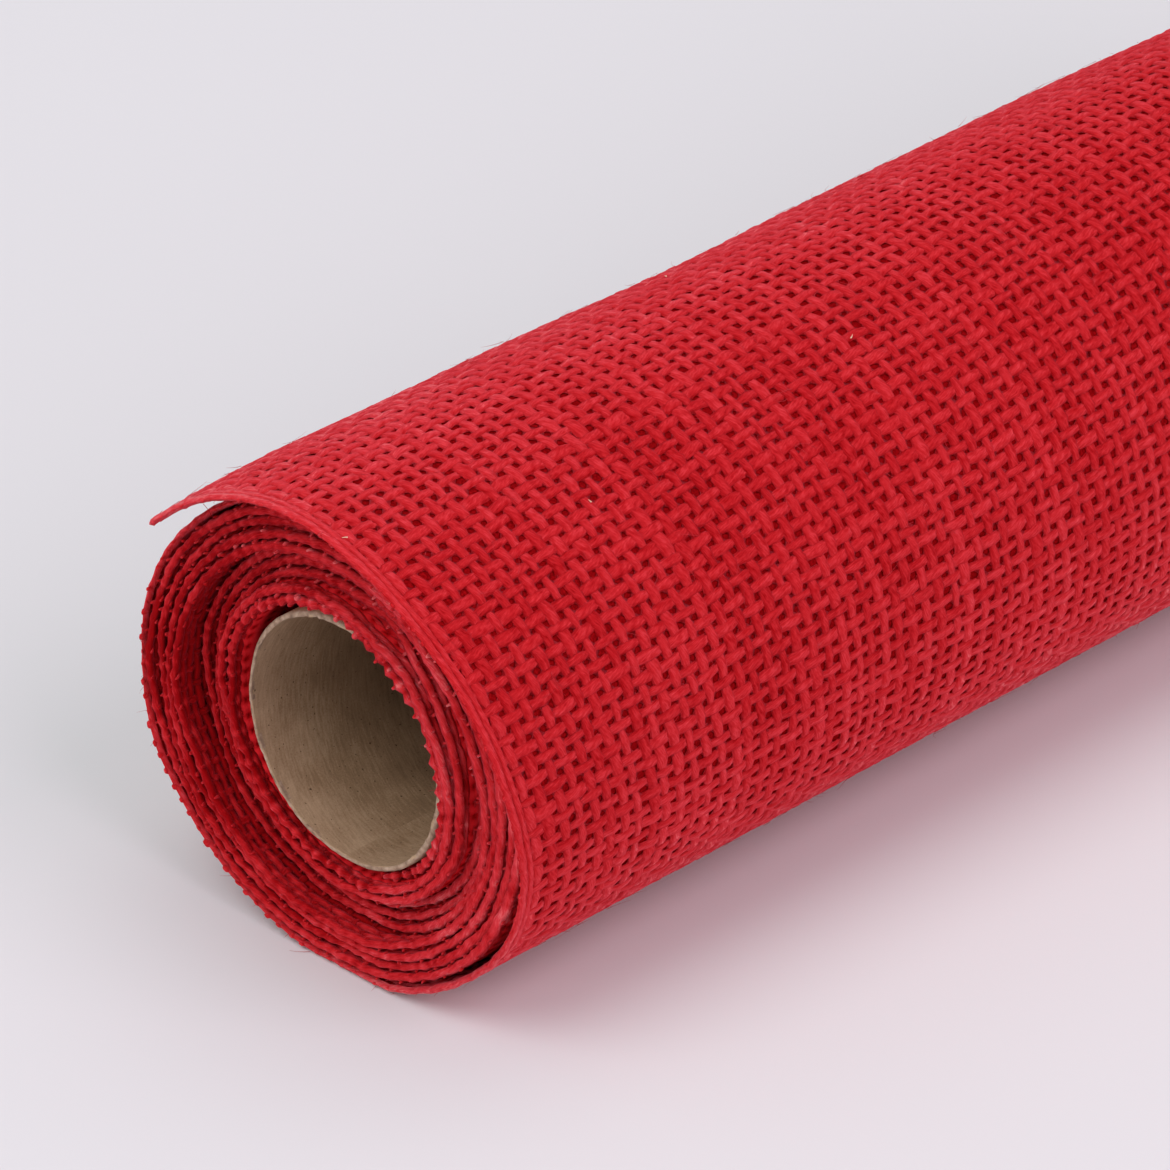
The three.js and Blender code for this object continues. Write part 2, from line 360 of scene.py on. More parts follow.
class Tubes:
    """Gathers tubes as arrays and makes one object of them."""

    def __init__(self):
        self.points, self.quads, self.caps, self.uvs, self.cap_uvs, self.tones = [], [], [], [], [], []
        self.count = 0

    def add_tube(self, centre, half, height, tone, section=FLAT_SECTION, warped=True, shade=0.0):
        """A closed tube round a path in the cloth's (s, v, h).

        half and height are its half sizes, and tone and shade add up to how pale it is.
        """
        along = np.gradient(centre[:, :2], axis=0)
        along /= np.maximum(np.linalg.norm(along, axis=1, keepdims=True), 1e-9)
        aside = np.stack([-along[:, 1], along[:, 0]], 1)
        swing = section[:, 0] * half[:, None]
        s = centre[:, 0, None] + swing * aside[:, 0, None]
        v = centre[:, 1, None] + swing * aside[:, 1, None]
        h = centre[:, 2, None] + section[:, 1] * height[:, None]
        if warped:
            s, v = warp(s, v)
        self.add_rings(place(s, v, h), tone, shade)

    def add_rings(self, points, tone, shade=0.0):
        rings, sides = points.shape[:2]
        step = np.linalg.norm(np.diff(points.mean(1), axis=0), axis=1) * 1000
        run = np.concatenate([[0], np.cumsum(step)]) + 40 * tone
        index = self.count + np.arange(rings * sides).reshape(rings, sides)
        after = np.roll(index, -1, 1)
        quads = np.stack([index[:-1], after[:-1], after[1:], index[1:]], -1).reshape(-1, 4)
        k = np.arange(sides) / sides
        u0, u1 = run[:-1, None].repeat(sides, 1), run[1:, None].repeat(sides, 1)
        k0, k1 = k[None, :].repeat(rings - 1, 0), (k + 1 / sides)[None, :].repeat(rings - 1, 0)
        uv = np.stack([np.stack(pair, -1) for pair in ((u0, k0), (u0, k1), (u1, k1), (u1, k0))], 2)
        self.points.append(points.reshape(-1, 3))
        self.quads.append(quads)
        self.uvs.append(uv.reshape(-1, 2))
        self.caps.append(np.stack([index[0, ::-1], index[-1]]))
        self.cap_uvs.append(np.repeat([[run[0], 0.5], [run[-1], 0.5]], sides, 0))
        self.tones.append(np.repeat(tone + np.zeros(rings) + shade, sides))
        self.count += rings * sides

    def make(self, name, material, creases=False):
        quads, caps = np.concatenate(self.quads), np.concatenate(self.caps)
        corners = np.concatenate([quads.ravel(), caps.ravel()])
        cap_starts = quads.size + np.arange(len(caps)) * caps.shape[1]
        starts = np.concatenate([np.arange(len(quads)) * 4, cap_starts])
        uv = np.concatenate(self.uvs + self.cap_uvs)
        mesh = array_mesh(name, np.concatenate(self.points), corners, starts, uv)
        set_tones(mesh, np.concatenate(self.tones))
        if creases:
            # A flat section's two side edges are creased, so that its flanks don't shade as overhangs
            ends = np.empty(len(mesh.edges) * 2, np.int32)
            mesh.edges.foreach_get("vertices", ends)
            side = ends.reshape(-1, 2) % len(FLAT_SECTION)
            sharp = (side[:, 0] == side[:, 1]) & ((side[:, 0] == 0) | (side[:, 0] == 3))
            mesh.attributes.new("sharp_edge", "BOOLEAN", "EDGE").data.foreach_set("value", sharp)
        return finish_piece(name, mesh, material)


def grid_mesh(name, grid, uv_grid, material, closed_rows=False):
    """A mesh over a grid of points whose columns close into a ring, with a uv for each grid point."""
    rows, columns = grid.shape[:2]
    index = np.arange(rows * columns).reshape(rows, columns)
    i = np.arange(rows if closed_rows else rows - 1)
    i, j = (m.ravel() for m in np.meshgrid(i, np.arange(columns), indexing="ij"))
    below, beside = (i + 1) % rows, (j + 1) % columns
    quads = np.stack([index[i, j], index[below, j], index[below, beside], index[i, beside]], 1)
    uv_rows, uv_columns = uv_grid.shape[:2]
    i1, j1 = np.minimum(i + 1, uv_rows - 1), np.minimum(j + 1, uv_columns - 1)
    uv = np.stack([uv_grid[i, j], uv_grid[i1, j], uv_grid[i1, j1], uv_grid[i, j1]], 1)
    mesh = array_mesh(name, grid, quads.ravel(), np.arange(len(quads)) * 4, uv)
    return finish_piece(name, mesh, material)


def face_outward(piece, more_faces=()):
    """Adds faces, each a list of point numbers, and turns all the faces outward."""
    work = bmesh.new()
    work.from_mesh(piece.data)
    work.verts.ensure_lookup_table()
    for corners in more_faces:
        work.faces.new([work.verts[number] for number in corners])
    bmesh.ops.recalc_face_normals(work, faces=work.faces)
    work.to_mesh(piece.data)
    work.free()
    piece.data.shade_smooth()


class Nodes:
    """A shorthand for making a material's nodes."""

    def __init__(self, name):
        self.material = bpy.data.materials.new(name)
        self.material.use_nodes = True
        self.tree = self.material.node_tree
        self.shader = self.tree.nodes["Principled BSDF"]

    def node(self, kind, inputs=None, **settings):
        made = self.tree.nodes.new(kind)
        for key, value in settings.items():
            setattr(made, key, value)
        for key, value in (inputs or {}).items():
            self.set(made.inputs[key], value)
        return made

    def set(self, socket, value):
        if isinstance(value, bpy.types.NodeSocket):
            self.tree.links.new(value, socket)
        else:
            socket.default_value = value

    def math(self, operation, *values):
        made = self.tree.nodes.new("ShaderNodeMath")
        made.operation = operation
        for socket, value in zip(made.inputs, values):
            self.set(socket, value)
        return made.outputs[0]

    def noise(self, vector, scale, detail=2.0, roughness=0.5):
        inputs = {"Vector": vector, "Scale": scale, "Detail": detail, "Roughness": roughness}
        return self.node("ShaderNodeTexNoise", inputs).outputs["Fac"]

    def ramp(self, value, stops):
        made = self.node("ShaderNodeValToRGB", {"Fac": value})
        elements = made.color_ramp.elements
        while len(elements) < len(stops):
            elements.new(0.5)
        for element, (position, colour) in zip(elements, stops):
            element.position = position
            element.color = (*colour, 1)
        return made.outputs["Color"]

    def mix(self, value, first, second, blend="MIX"):
        made = self.node("ShaderNodeMix", data_type="RGBA", blend_type=blend)
        for key, content in ((0, value), (6, first), (7, second)):
            self.set(made.inputs[key], content)
        return made.outputs[2]

    def bump(self, height, strength, distance):
        inputs = {"Height": height, "Strength": strength, "Distance": distance}
        self.set(self.shader.inputs["Normal"], self.node("ShaderNodeBump", inputs).outputs["Normal"])


def make_yarn_material():
    n = Nodes("jute_yarn")
    uv = n.node("ShaderNodeUVMap", uv_map="YarnUV").outputs["UV"]
    split = n.node("ShaderNodeSeparateXYZ", {"Vector": uv})
    along, around = split.outputs["X"], split.outputs["Y"]
    tone = n.node("ShaderNodeAttribute", attribute_name="tone").outputs["Fac"]
    turn = n.math("MULTIPLY", n.math("ADD", around, n.math("MULTIPLY", along, 0.055)), 2 * math.pi)
    radius = 1.1
    ring_x = n.math("MULTIPLY", n.math("COSINE", turn), radius)
    ring_y = n.math("MULTIPLY", n.math("SINE", turn), radius)
    inputs = {"X": ring_x, "Y": ring_y, "Z": n.math("MULTIPLY", along, 0.22)}
    strands = n.node("ShaderNodeCombineXYZ", inputs).outputs["Vector"]
    fibre = n.noise(strands, 3.2, 4.0, 0.62)
    inputs = {"X": ring_x, "Y": ring_y, "Z": n.math("MULTIPLY", along, 0.9)}
    slub = n.noise(n.node("ShaderNodeCombineXYZ", inputs).outputs["Vector"], 0.9, 2.0)
    place_noise = n.noise(n.node("ShaderNodeTexCoord").outputs["Object"], 38.0, 2.0)
    value = n.math("ADD", n.math("MULTIPLY", fibre, 0.62), n.math("MULTIPLY", slub, 0.38))
    # The tone attribute holds each yarn's random tone, and on the outer turn and the near end also painted
    # sheen, painted light and painted shade
    value = n.math("ADD", value, n.math("MULTIPLY", n.math("SUBTRACT", tone, 0.5), 0.11))
    value = n.math("ADD", value, n.math("MULTIPLY", n.math("SUBTRACT", place_noise, 0.5), 0.05))
    # The yarn's top is painted lighter than its flanks: painted highlight on its top and painted shade on its
    # flanks
    painted_flank_shade = n.math("MINIMUM", n.math("ABSOLUTE", n.math("SUBTRACT", around, 0.3)), 0.3)
    value = n.math("ADD", value, n.math("MULTIPLY", n.math("SUBTRACT", 0.13, painted_flank_shade), 0.52))
    colour = n.ramp(
        value,
        [
            (0.28, (0.27, 0.0030, 0.0046)),
            (0.42, (0.41, 0.0100, 0.0136)),
            (0.55, (0.505, 0.0200, 0.0255)),
            (0.70, (0.60, 0.040, 0.052)),
            (0.95, (0.76, 0.180, 0.185)),
        ],
    )
    n.set(n.shader.inputs["Base Color"], colour)
    n.shader.inputs["Roughness"].default_value = 0.82
    n.shader.inputs["Specular IOR Level"].default_value = 0.0
    n.shader.inputs["Sheen Weight"].default_value = 0.12
    n.shader.inputs["Sheen Roughness"].default_value = 0.4
    n.shader.inputs["Sheen Tint"].default_value = (1.0, 0.22, 0.32, 1)
    n.shader.inputs["Subsurface Weight"].default_value = 0.5
    n.shader.inputs["Subsurface Radius"].default_value = (1.0, 0.25, 0.22)
    n.shader.inputs["Subsurface Scale"].default_value = 0.0008
    n.bump(fibre, 0.75, 0.00020)
    return n.material


def make_sheet_material():
    n = Nodes("jute_sheet")
    uv = n.node("ShaderNodeUVMap", uv_map="YarnUV").outputs["UV"]
    split = n.node("ShaderNodeSeparateXYZ", {"Vector": uv})
    s, v = split.outputs["X"], split.outputs["Y"]
    wobble = n.noise(uv, 0.12, 2.0)
    s = n.math("ADD", s, n.math("MULTIPLY", wobble, 2.0))
    rod = n.math("ABSOLUTE", n.math("SINE", n.math("MULTIPLY", s, math.pi / ROD_PITCH)))
    hoop = n.math("ABSOLUTE", n.math("SINE", n.math("MULTIPLY", v, math.pi / HOOP_PITCH)))
    high = n.math("POWER", n.math("MAXIMUM", rod, hoop), 0.6)
    low = n.math("MULTIPLY", n.math("ADD", rod, hoop), 0.3)
    grain = n.noise(uv, 2.6, 3.0)
    height = n.math("ADD", n.math("ADD", high, low), n.math("MULTIPLY", grain, 0.35))
    height = n.math("MULTIPLY", height, 0.6)
    # The weave's low places are painted darker: painted shade in its recesses
    colour = n.ramp(
        height,
        [(0.50, (0.36, 0.004, 0.006)), (0.72, (0.60, 0.010, 0.015)), (0.95, (0.74, 0.020, 0.028))],
    )
    # Under the outer turn's yarns the sheet is painted dark: painted shade seen through the weave's holes
    painted_hole_shade = n.ramp(grain, [(0.3, (0.14, 0.0012, 0.0022)), (0.7, (0.31, 0.0033, 0.0052))])
    # Further in from the cloth's edge the sheet is painted darker: painted shade deep between the turns
    inward = n.ramp(n.math("MULTIPLY", v, 0.01), [(0.03, (1.0, 1.0, 1.0)), (0.055, (0.42, 0.42, 0.42))])
    colour = n.mix(1.0, colour, inward, "MULTIPLY")
    wound = n.math("GREATER_THAN", split.outputs["X"], DETAIL_LENGTH)
    n.set(n.shader.inputs["Base Color"], n.mix(wound, painted_hole_shade, colour))
    n.shader.inputs["Roughness"].default_value = 0.9
    n.shader.inputs["Specular IOR Level"].default_value = 0.0
    n.bump(height, 0.8, 0.0008)
    return n.material


def make_card_material():
    n = Nodes("cardboard")
    uv = n.node("ShaderNodeUVMap", uv_map="YarnUV").outputs["UV"]
    inputs = {"Vector": uv, "Rotation": (0, 0, math.radians(78))}
    turned = n.node("ShaderNodeMapping", inputs).outputs["Vector"]
    stretch = n.node("ShaderNodeMapping", {"Vector": turned, "Scale": (0.3, 1.9, 1.0)}).outputs["Vector"]
    fibre = n.noise(stretch, 1.1, 5.0, 0.6)
    cloud = n.noise(uv, 0.11, 3.0)
    speck = n.noise(uv, 1.9, 1.0, 0.4)
    grain = n.noise(uv, 3.2, 3.0, 0.6)
    value = n.math("ADD", n.math("MULTIPLY", fibre, 0.4), n.math("MULTIPLY", cloud, 0.36))
    value = n.math("ADD", value, n.math("MULTIPLY", grain, 0.24))
    # The card is painted paler near its end and darker further in: painted shade inside the tube
    depth = n.node("ShaderNodeSeparateXYZ", {"Vector": uv}).outputs["X"]
    wear_and_painted_shade = n.math("MAXIMUM", n.math("SUBTRACT", 1.0, n.math("MULTIPLY", depth, 0.028)), 0.0)
    value = n.math("ADD", value, n.math("SUBTRACT", n.math("MULTIPLY", wear_and_painted_shade, 0.30), 0.17))
    colour = n.ramp(
        value,
        [(0.30, (0.17, 0.102, 0.055)), (0.50, (0.295, 0.184, 0.104)), (0.72, (0.49, 0.335, 0.212))],
    )
    dark = n.ramp(speck, [(0.22, (0.3, 0.25, 0.22)), (0.30, (1, 1, 1))])
    n.set(n.shader.inputs["Base Color"], n.mix(1.0, colour, dark, "MULTIPLY"))
    n.shader.inputs["Roughness"].default_value = 0.75
    n.shader.inputs["Specular IOR Level"].default_value = 0.25
    n.bump(fibre, 0.35, 0.00012)
    return n.material


def make_rim_material():
    n = Nodes("cardboard_cut")
    spot = n.node("ShaderNodeTexCoord").outputs["Object"]
    grain = n.noise(spot, 900.0, 3.0)
    colour = n.ramp(
        grain,
        [(0.30, (0.20, 0.124, 0.080)), (0.5, (0.33, 0.215, 0.145)), (0.7, (0.46, 0.325, 0.235))],
    )
    n.set(n.shader.inputs["Base Color"], colour)
    n.shader.inputs["Roughness"].default_value = 0.9
    n.bump(grain, 0.8, 0.0003)
    return n.material


def make_floor_material():
    n = Nodes("pale_floor")
    spot = n.node("ShaderNodeTexCoord").outputs["Object"]
    cloud = n.noise(spot, 3.0, 2.0)
    colour = n.ramp(cloud, [(0.3, (0.68, 0.69, 0.705)), (0.7, (0.695, 0.705, 0.72))])
    n.set(n.shader.inputs["Base Color"], colour)
    n.shader.inputs["Roughness"].default_value = 0.7
    n.shader.inputs["Specular IOR Level"].default_value = 0.2
    n.bump(n.noise(spot, 600.0, 2.0), 0.05, 0.0002)
    return n.material


def set_pose(thing, right, upward, back, spot):
    """Sets an object's place, and its axes."""
    matrix = np.eye(4)
    for column, values in enumerate((right, upward, back, spot)):
        matrix[:3, column] = values
    thing.matrix_world = Matrix(matrix.tolist())


def make_camera():
    """The photograph's view: its place, its direction and its angle of view, for a 1170 x 1170 image."""
    down, turn, focal, pixels = 0.539558169, 0.794932563, 8710.52, 1170
    spot = np.array([-0.71102, -0.77389, 0.65314]) + ORIGIN
    forward = np.array([math.cos(turn) * math.cos(down), math.sin(turn) * math.cos(down), -math.sin(down)])
    right = np.array([math.sin(turn), -math.cos(turn), 0.0])
    data = bpy.data.cameras.new("camera")
    data.sensor_width = 36.0
    data.lens = data.sensor_width * focal / pixels
    data.clip_start, data.clip_end = 0.05, 50.0
    camera = bpy.data.objects.new("camera", data)
    bpy.context.scene.collection.objects.link(camera)
    set_pose(camera, right, np.cross(right, forward), -forward, spot)
    bpy.context.scene.camera = camera


def make_lights():
    scene = bpy.context.scene
    scene.view_settings.view_transform = "Standard"
    world = bpy.data.worlds.new("studio")
    world.use_nodes = True
    background = world.node_tree.nodes["Background"]
    background.inputs["Color"].default_value = (0.955, 0.97, 1.0, 1)
    background.inputs["Strength"].default_value = 0.55
    scene.world = world
    for name, spot, size, power, colour in LIGHTS:
        data = bpy.data.lights.new(name, "AREA")
        data.shape = "DISK"
        data.size = size
        data.energy = power
        data.color = colour
        light = bpy.data.objects.new(name, data)
        scene.collection.objects.link(light)
        away = np.array(spot) - np.array(LIGHTS_AIM)
        away /= np.linalg.norm(away)
        side = np.cross([0, 0, 1], away)
        side /= np.linalg.norm(side)
        set_pose(light, side, np.cross(away, side), away, spot)


def make_floor():
    mesh = bpy.data.meshes.new("floor")
    corners = [(x * FLOOR_REACH, y * FLOOR_REACH, 0) for x, y in ((-1, -1), (1, -1), (1, 1), (-1, 1))]
    mesh.from_pydata(corners, [], [(0, 1, 2, 3)])
    mesh.materials.append(make_floor_material())
    floor = bpy.data.objects.new("floor", mesh)
    bpy.context.scene.collection.objects.link(floor)


make_camera()
make_lights()
make_floor()

yarn = make_yarn_material()

# Where the yarns lie on the cloth before they wander
inner_hoops = round((CLOTH_WIDTH - FIRST_INNER - FIRST_INNER) / HOOP_PITCH)
hoop_at = np.concatenate(
    [
        SELVAGE,
        np.linspace(FIRST_INNER, CLOTH_WIDTH - FIRST_INNER, inner_hoops + 1),
        CLOTH_WIDTH - np.array(SELVAGE[::-1]),
    ]
)
hoop_at[3:-3] += random.normal(0, 0.13, len(hoop_at) - 6)
rod_at = np.arange(1.1, DETAIL_LENGTH, ROD_PITCH)
rod_at = rod_at + random.normal(0, 0.11, len(rod_at))
hoop_wander = [waves((9.7, 17, 29, 53), 0.36) for _ in hoop_at]
rod_wander = [waves((11.3, 19, 33, 61), 0.34) for _ in rod_at]


def edge_calm(v):
    """0 in the selvage, where the yarns hardly wave, and 1 inside it."""
    return smoothstep(v, 1.5, 4.5) * smoothstep(v, CLOTH_WIDTH - 1.5, CLOTH_WIDTH - 4.5)


def hoop_place(j, s):
    """Where one yarn round the roll lies across the cloth."""
    return hoop_at[j] + hoop_wander[j](s) * (0.25 + 0.75 * edge_calm(hoop_at[j]))


def rod_place(k, v):
    """Where one yarn along the roll lies along the cloth."""
    return rod_at[k] + rod_wander[k](v)


def uneven(count, spread):
    """Thickness along a yarn: slubs and thin places, one factor for each ring."""
    knots = np.arange(-2, count + 6, 4)
    slow = np.interp(np.arange(count), knots, random.normal(0, spread, len(knots)))
    return 1 + slow + random.normal(0, spread * 0.35, count)


def rounded(count):
    """Thickness at a tube's ends, where it closes."""
    factor = np.ones(count)
    factor[0], factor[1] = 0.62, 0.95
    factor[-1], factor[-2] = 0.62, 0.95
    return factor


def crossed(steps, width, height):
    """A yarn spreads where it crosses another and is narrower between."""
    wave = np.cos(2 * math.pi * steps)
    return width * (1 + 0.11 * wave), height * (1 - 0.03 * wave)


# Painted sheen, painted light and painted shade along the outer turn
def painted_sheen_and_shade(s):
    return np.interp(s, PAINTED_SHEEN_AND_SHADE[:, 0], PAINTED_SHEEN_AND_SHADE[:, 1])


def hoop_tube(tubes, j):
    """One yarn round the roll, through the whole detailed length."""
    selvage = j < len(SELVAGE) or j >= len(hoop_at) - len(SELVAGE)
    calm_end = j <= len(SELVAGE) or j >= len(hoop_at) - len(SELVAGE) - 1
    crossings = np.array([rod_place(k, hoop_at[j]) for k in range(len(rod_at))])
    coarse = np.arange(FINE_RODS * 2, (len(rod_at) - 1) * 2 + 1) / 2
    steps = np.concatenate([np.arange(FINE_RODS * 3) / 3, coarse])
    s = np.interp(steps, np.arange(len(rod_at)), crossings)
    fray = random.uniform(0.1, 0.5) if calm_end else random.uniform(0.7, 2.4)
    s = np.concatenate([[crossings[0] - 0.9 - fray, crossings[0] - 0.6 - 0.6 * fray, crossings[0] - 0.5], s])
    steps = np.concatenate([[-1.0, -0.75, -0.35], steps])
    h = WAVE * (0.3 if selvage else 1.0) * np.cos(math.pi * (steps + j)) * smoothstep(steps, -1.0, -0.2)
    h = h + random.normal(0, 0.035, len(h))
    v = hoop_place(j, s) + random.normal(0, 0.25) * smoothstep(s, 0, -3)
    width = random.uniform(0.84, 1.16)
    spread, ends = 0.03 if selvage else 0.12, rounded(len(s))
    half = HOOP_HALF[0] * (0.68 if selvage else width) * uneven(len(s), spread) * ends
    spread = 0.06 if selvage else 0.03
    height = HOOP_HALF[1] * (1.5 if selvage else 0.5 + 0.5 * width) * uneven(len(s), spread) * ends
    if not selvage:
        half, height = crossed(steps, half, height)
    # Painted sheen and shade along the turn, and the selvage hoops painted paler still: painted sheen along
    # the edge band
    shade = painted_sheen_and_shade(s) + (0.9 if selvage else 0.0)
    tubes.add_tube(np.stack([s, v, h], 1), half, height, random.uniform(), shade=shade)


def rod_tube(tubes, k):
    """One yarn along the roll, from edge to edge, with both of its ends standing out a little."""
    crossings = np.array([hoop_place(j, rod_at[k]) for j in range(len(hoop_at))])
    count = len(hoop_at)
    fine = 3 if k < FINE_RODS else 2
    steps = np.arange(0, (count - 1) * fine + 1) / fine
    v = np.interp(steps, np.arange(count), crossings)
    # Under the roll and behind it, its ends stand out a little further
    hidden = float(smoothstep(rod_at[k], 140, 160))
    out_near, out_far = random.uniform(0.0, 0.22 + 0.2 * hidden, 2)
    near = crossings[0] - np.array([0.65 + out_near, 0.45 + 0.6 * out_near, 0.35])
    far = crossings[-1] + np.array([0.35, 0.45 + 0.6 * out_far, 0.65 + out_far])
    v = np.concatenate([near, v, far])
    steps = np.concatenate([[-0.75, -0.55, -0.3], steps, count - 1 + np.array([0.3, 0.55, 0.75])])
    calm = 0.2 + 0.5 * hidden
    h = -WAVE * (calm + (1 - calm) * edge_calm(v)) * np.cos(math.pi * (k + steps))
    h = h + random.normal(0, 0.025, len(v))
    s = rod_place(k, v)
    s = s + random.normal(0, 0.22) * smoothstep(v, 1.2, -0.6)
    s = s + random.normal(0, 0.22) * smoothstep(v, CLOTH_WIDTH - 1.2, CLOTH_WIDTH + 0.6)
    width = random.uniform(0.84, 1.16)
    narrow = 0.80 + 0.20 * edge_calm(v)
    half = ROD_HALF[0] * width * narrow * uneven(len(v), 0.12) * rounded(len(v))
    height = ROD_HALF[1] * (0.5 + 0.5 * width) * narrow * uneven(len(v), 0.03) * rounded(len(v))
    half, height = crossed(steps, half, height)
    # Its tone along the turn is painted sheen and painted shade
    tubes.add_tube(np.stack([s, v, h], 1), half, height, random.uniform(), shade=painted_sheen_and_shade(s))


def make_outer_turn():
    """The yarns of the outer turn, as two pieces each way."""
    made = []
    for name, yarns, tube in (("hoop_yarns", len(hoop_at), hoop_tube), ("rod_yarns", len(rod_at), rod_tube)):
        for part, chosen in enumerate(np.array_split(np.arange(yarns), 2)):
            tubes = Tubes()
            for number in chosen:
                tube(tubes, int(number))
            made.append(tubes.make(f"{name}_{part + 1}", yarn, creases=True))
    return made


def make_webs():
    """The fuzz that fills the weave's corners: a thin closed diamond through each crossing."""
    inside = np.arange(len(SELVAGE), len(hoop_at) - len(SELVAGE))
    j, k = (m.ravel() for m in np.meshgrid(inside, np.arange(len(rod_at)), indexing="ij"))
    s = np.array([rod_place(b, hoop_at[a]) for a, b in zip(j, k)])
    v = np.array([hoop_place(a, b) for a, b in zip(j, s)])
    reach = random.uniform(1.78, 2.18, (2, len(s)))
    rim, rise = np.full(len(s), 0.06), np.full(len(s), 0.26)
    corners = (
        (s + reach[0], v, rim), (s, v + reach[1], rim), (s - reach[0], v, rim), (s, v - reach[1], rim),
        (s, v, rise), (s, v, -rise),
    )
    spots = np.stack([np.stack(corner, 1) for corner in corners], 1)
    along, across = warp(spots[..., 0], spots[..., 1])
    points = place(along, np.clip(across, 0.3, CLOTH_WIDTH - 0.3), spots[..., 2])
    faces = np.array([(0, 1, 4), (1, 2, 4), (2, 3, 4), (3, 0, 4), (1, 0, 5), (2, 1, 5), (3, 2, 5), (0, 3, 5)])
    index = (np.arange(len(s)) * len(corners))[:, None, None] + faces[None]
    uv = np.stack([spots[..., 0] * 1.7, 0.5 + 0.2 * spots[..., 1]], -1)[:, faces].reshape(-1, 2)
    mesh = array_mesh("fibre_webs", points, index.ravel(), np.arange(index.size // 3) * 3, uv)
    # Each web's tone is random, plus painted sheen and painted shade along the turn
    set_tones(mesh, np.repeat(random.uniform(0.2, 0.8, len(s)) + painted_sheen_and_shade(s), len(corners)))
    return finish_piece("fibre_webs", mesh, yarn)


def cloth_place(turn):
    """The place along the cloth, from its cut end, of a number of wound turns."""
    return CLOTH_LENGTH - np.interp(FIRST_ANGLE + FULL_TURN * turn, WINDING, ARC)


# The turn that bounds the deep groove in the near end shows more yarns
DEEP_START, DEEP_END = cloth_place(6.35), cloth_place(5.05)
# The innermost turn starts here
INMOST = cloth_place(1.0)
# The wound turns' edges are made yarn by yarn between these places along the cloth
WOUND_START, WOUND_END = DETAIL_LENGTH - 2.0, CLOTH_LENGTH - 1.5
# Distances of their hoops from the near edge and from the far one: those beyond EDGE_HOOPS_TO are only in
# the groove
NEAR_HOOPS, FAR_HOOPS, EDGE_HOOPS_TO = (0.62, 1.75, 3.1, 4.6, 6.1), (0.75, 2.3), 4
# Angles round the roll: its front, its back, where the turns' ends are painted palest as painted light, and
# where they have beads between them
FRONT, BACK, PAINTED_LIGHT_ANGLE, BEADED = 90, 268, 80, 165


def toward(s, angle):
    """1 at an angle round the roll and 0 opposite, for a place along the cloth."""
    return 0.5 + 0.5 * np.cos(np.radians(np.interp(CLOTH_LENGTH - s, ARC, WINDING) - angle))


def half_pitch(s):
    """Half the distance from one wound turn to the next."""
    angle = turn_angle(np.interp(CLOTH_LENGTH - s, ARC, WINDING))
    inner = CORE_RADIUS + CORE_SPACE + HALF_CLOTH + CORE_DROP * np.cos(np.radians(angle))
    return (np.minimum(roll_radius(angle), FLOOR_DROP + 0.5) - HALF_CLOTH - inner) / (2 * TURNS)


def painted_end_light(s, near):
    """How much paler the turns' near ends are painted towards the front: painted light."""
    return 2.6 * toward(s, PAINTED_LIGHT_ANGLE) - 1.1 if near else 0.0


def across_from(v, near):
    """A distance from one edge of the cloth as a place across it."""
    return v if near else CLOTH_WIDTH - v


def edge_hoop(tubes, j, v0, rods, near):
    """One of the wound turns' last yarns round the roll, at v0 from the edge."""
    groove = v0 > EDGE_HOOPS_TO
    first, last = (DEEP_START, DEEP_END) if groove else (WOUND_START, WOUND_END)
    s = np.arange(first, last, ROD_PITCH / 2)
    steps = np.interp(s, rods, np.arange(len(rods)))
    h = (0.09 if j == 0 else 0.14) * np.cos(math.pi * (steps + j)) + random.normal(0, 0.04, len(s))
    # The yarns along the roll turn back round it and make a row of bumps
    bumpy = 1.0 if near and not groove else 0.0
    bump = np.cos(2 * math.pi * steps) * random.uniform(0.3, 1.1, len(s)) * bumpy
    bump = bump * np.where(s > INMOST, 1.7, 1 - 0.6 * toward(s, FRONT))
    v = across_from(v0, near) + waves((9, 17, 31, 53), 0.18)(s) + random.normal(0, 0.04, len(s)) - 0.17 * bump
    half = (0.72 if groove else 0.60) * uneven(len(s), 0.08) * rounded(len(s))
    # The turns lie more open at the back
    fill = 0.62 if groove else (0.99 if j == 0 else 0.90) - 0.24 * toward(s, BACK) ** 2
    height = fill * half_pitch(s) * uneven(len(s), 0.09) * rounded(len(s))
    height = height * (1 + np.where(s > INMOST, 0.2, 0.1) * bump)
    # The groove's hoops are painted darker as painted shade in the recess; elsewhere painted light makes the
    # near ends paler towards the front
    shade = -1.4 if groove else np.minimum(painted_end_light(s, near), 0.8) + uneven(len(s), 0.7) - 1 + 1.1 * bump
    tone, section = random.uniform(-0.3, 0.5), round_section(NEAR_SIDES if near else FAR_SIDES)
    tubes.add_tube(np.stack([s, v, h], 1), half, height, tone, section, False, shade)


